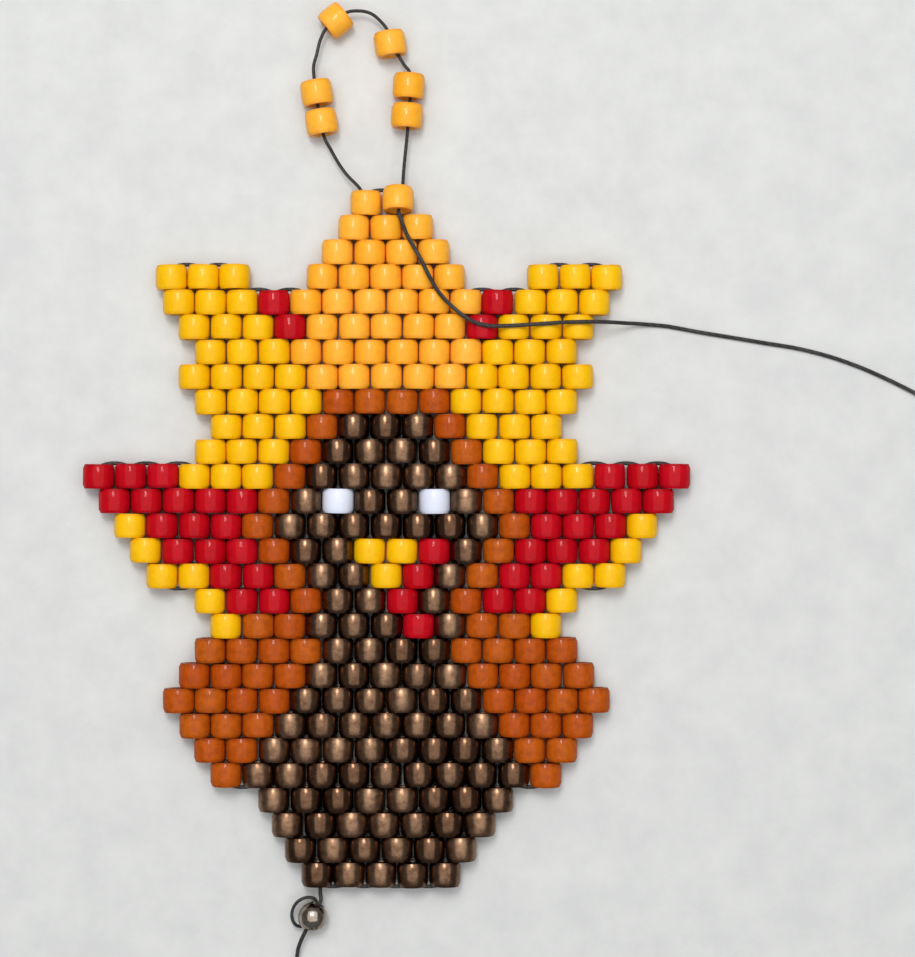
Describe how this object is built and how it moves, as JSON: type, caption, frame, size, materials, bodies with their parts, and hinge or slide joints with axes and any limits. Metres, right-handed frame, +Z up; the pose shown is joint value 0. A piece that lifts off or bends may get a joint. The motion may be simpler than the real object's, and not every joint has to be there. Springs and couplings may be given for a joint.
{
  "type": "beaded turkey charm",
  "caption": "Flat turkey charm of cylinder beads in brick stitch, with a beaded hanging loop, a free working thread and a tail with a stopper bead.",
  "frame": {"origin": "middle of the footprint of the charm with its hanging loop, on the surface it lies on", "axes": "+X to the charm's right-hand edge as seen from above, +Y towards the crest and the loop, +Z up through the thickness of the beads"},
  "size_m": [0.0499, 0.0561, 0.002],
  "materials": {
    "mango_bead": "opaque glossy light orange",
    "yellow_bead": "opaque glossy yellow",
    "red_bead": "opaque high-gloss dark red",
    "rust_bead": "opaque semi-gloss rust orange",
    "bronze_bead": "metallic dark bronze",
    "white_bead": "opaque white",
    "thread": "waxed dark grey beading thread",
    "stopper_metal": "dark polished metal coat",
    "tie_band": "pale cotton band"
  },
  "bodies": {
    "panel": {"raised_bead": "mango_bead", "crest_tip": "mango_bead", "crest_middle": "mango_bead", "crest_base": "mango_bead", "left_feather_tip": "yellow_bead", "right_feather_tip": "yellow_bead", "left_feather": "yellow_bead", "right_feather": "yellow_bead", "left_feather_base": "yellow_bead", "right_feather_base": "yellow_bead", "left_notch": "red_bead", "right_notch": "red_bead", "left_red_feather_upper": "red_bead", "right_red_feather_upper": "red_bead", "left_red_feather_lower": "red_bead", "right_red_feather_lower": "red_bead", "left_feather_edge": "yellow_bead", "right_feather_edge": "yellow_bead", "head_arch": "rust_bead", "left_head_border": "rust_bead", "right_head_border": "rust_bead", "left_wing_upper": "rust_bead", "right_wing_upper": "rust_bead", "left_wing_lower": "rust_bead", "right_wing_lower": "rust_bead", "head": "bronze_bead", "left_cheek": "bronze_bead", "right_cheek": "bronze_bead", "left_eye": "white_bead", "right_eye": "white_bead", "beak": "yellow_bead", "wattle": "red_bead", "body_upper": "bronze_bead", "body_middle": "bronze_bead", "body_lower": "bronze_bead", "body_foot": "bronze_bead", "crest_stitching": "thread", "wing_stitching": "thread", "body_stitching": "thread", "working_thread": "thread", "working_coil": "thread", "working_coil_tie": "tie_band", "tail_thread": "thread", "tail_coil": "thread", "tail_coil_tie": "tie_band"},
    "hanging_loop": {"loop_thread": "thread"},
    "stopper": {"stopper_bead": "stopper_metal", "stopper_wrap": "thread"},
    "loop_bead_left_lower": {"loop_bead_left_lower": "mango_bead"},
    "loop_bead_left_upper": {"loop_bead_left_upper": "mango_bead"},
    "loop_bead_top_left": {"loop_bead_top_left": "mango_bead"},
    "loop_bead_top_right": {"loop_bead_top_right": "mango_bead"},
    "loop_bead_right_upper": {"loop_bead_right_upper": "mango_bead"},
    "loop_bead_right_lower": {"loop_bead_right_lower": "mango_bead"}
  },
  "joints": [
    {"name": "loop_fold", "type": "hinge", "parent": "panel", "child": "hanging_loop", "pos_m": [-0.0002, 0.01388, 0.0009], "axis": [1, 0, 0], "range_deg": [0, 90]},
    {"name": "left_lower_slide", "type": "slide", "parent": "hanging_loop", "child": "loop_bead_left_lower", "axis": [-0.16, 0.9871, 0], "range_m": [-0.00025, 0.00014]},
    {"name": "left_upper_slide", "type": "slide", "parent": "hanging_loop", "child": "loop_bead_left_upper", "axis": [-0.16, 0.9871, 0], "range_m": [-0.00014, 0.0003]},
    {"name": "top_left_slide", "type": "slide", "parent": "hanging_loop", "child": "loop_bead_top_left", "axis": [0.7799, 0.6259, 0], "range_m": [-0.00015, 0.00015]},
    {"name": "top_right_slide", "type": "slide", "parent": "hanging_loop", "child": "loop_bead_top_right", "axis": [-0.16, 0.9871, 0], "range_m": [-0.00012, 0.00012]},
    {"name": "right_upper_slide", "type": "slide", "parent": "hanging_loop", "child": "loop_bead_right_upper", "axis": [0.0594, 0.9982, 0], "range_m": [-0.00014, 0.0001]},
    {"name": "right_lower_slide", "type": "slide", "parent": "hanging_loop", "child": "loop_bead_right_lower", "axis": [0.0594, 0.9982, 0], "range_m": [-0.0012, 0.00014]},
    {"name": "stopper_slide", "type": "slide", "parent": "panel", "child": "stopper", "axis": [-0.4392, -0.8984, 0], "range_m": [-0.0001, 0.0004]}
  ]
}
